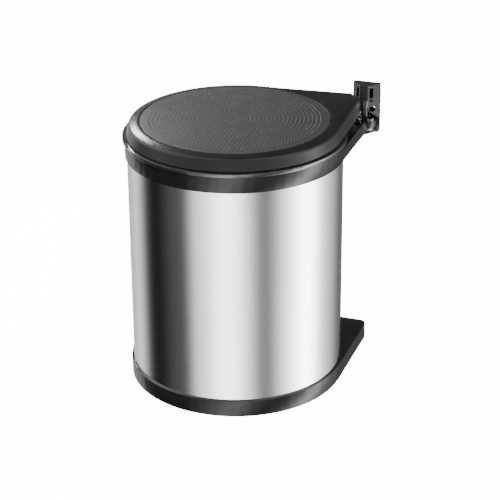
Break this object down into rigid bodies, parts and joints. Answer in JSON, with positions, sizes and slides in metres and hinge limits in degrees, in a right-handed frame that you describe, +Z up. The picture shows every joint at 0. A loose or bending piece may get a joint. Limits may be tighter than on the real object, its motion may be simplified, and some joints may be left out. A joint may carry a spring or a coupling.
{
  "type": "swing-out cabinet waste bin",
  "caption": "Round steel waste bin on a wall bracket; it swings out of a cabinet and a fixed cam lifts its black plastic lid.",
  "frame": {"origin": "on the wall plane, midway between the bracket's two screw holes", "axes": "+X along the wall towards the side the bin swings out to, +Y into the wall, +Z up"},
  "size_m": [0.2768, 0.2745, 0.346],
  "materials": {
    "black_plastic": "moulded, semi-gloss",
    "textured_plastic": "moulded, fine raised dots",
    "bracket_plastic": "moulded, satin",
    "bucket_plastic": "moulded, satin",
    "stainless": "polished with a fine vertical grain",
    "plated_steel": "zinc plated",
    "white_nylon": "natural nylon",
    "red_plastic": "moulded",
    "rubber": "matt"
  },
  "bodies": {
    "wall_side": {"wall_bracket": "bracket_plastic", "bracket_cap": "bracket_plastic", "pivot_pin": "plated_steel", "pivot_clip": "plated_steel", "lift_cam": "black_plastic"},
    "bin": {"ring_frame": "black_plastic", "upper_bush": "white_nylon", "lower_bush": "white_nylon", "return_spring": "plated_steel", "steel_shell": "stainless", "shell_seam": "stainless", "base_dish": "black_plastic", "wall_buffer": "rubber", "ring_screws": "plated_steel", "base_screws": "plated_steel", "bucket": "bucket_plastic", "bucket_bail": "plated_steel", "bail_grip": "bucket_plastic"},
    "lid": {"lid_shell": "black_plastic", "lid_disc": "textured_plastic", "lid_liner": "black_plastic", "lid_seal": "rubber", "lid_buffers": "rubber", "liner_screws": "plated_steel", "lid_heel": "black_plastic", "heel_screws": "plated_steel", "hinge_pin": "plated_steel", "roller_pin": "plated_steel"},
    "roller": {"follower_roller": "white_nylon", "follower_cap": "red_plastic"}
  },
  "joints": [
    {"name": "swing", "type": "hinge", "parent": "wall_side", "child": "bin", "pos_m": [0, -0.016, -0.02], "axis": [0, 0, 1], "range_deg": [0, 90], "stiffness_Nm_per_rad": 0.2},
    {"name": "lid_lift", "type": "hinge", "parent": "bin", "child": "lid", "pos_m": [-0.01697, -0.03297, 0.0115], "axis": [-0.7071, 0.7071, 0], "range_deg": [0, 30]},
    {"name": "roller_spin", "type": "hinge", "parent": "lid", "child": "roller", "pos_m": [-0.00661, -0.02261, -0.004], "axis": [0, 0, 1], "continuous": true}
  ],
  "couplings": [
    {"joint": "lid_lift", "follows": "swing", "ratio": 0.3333}
  ]
}
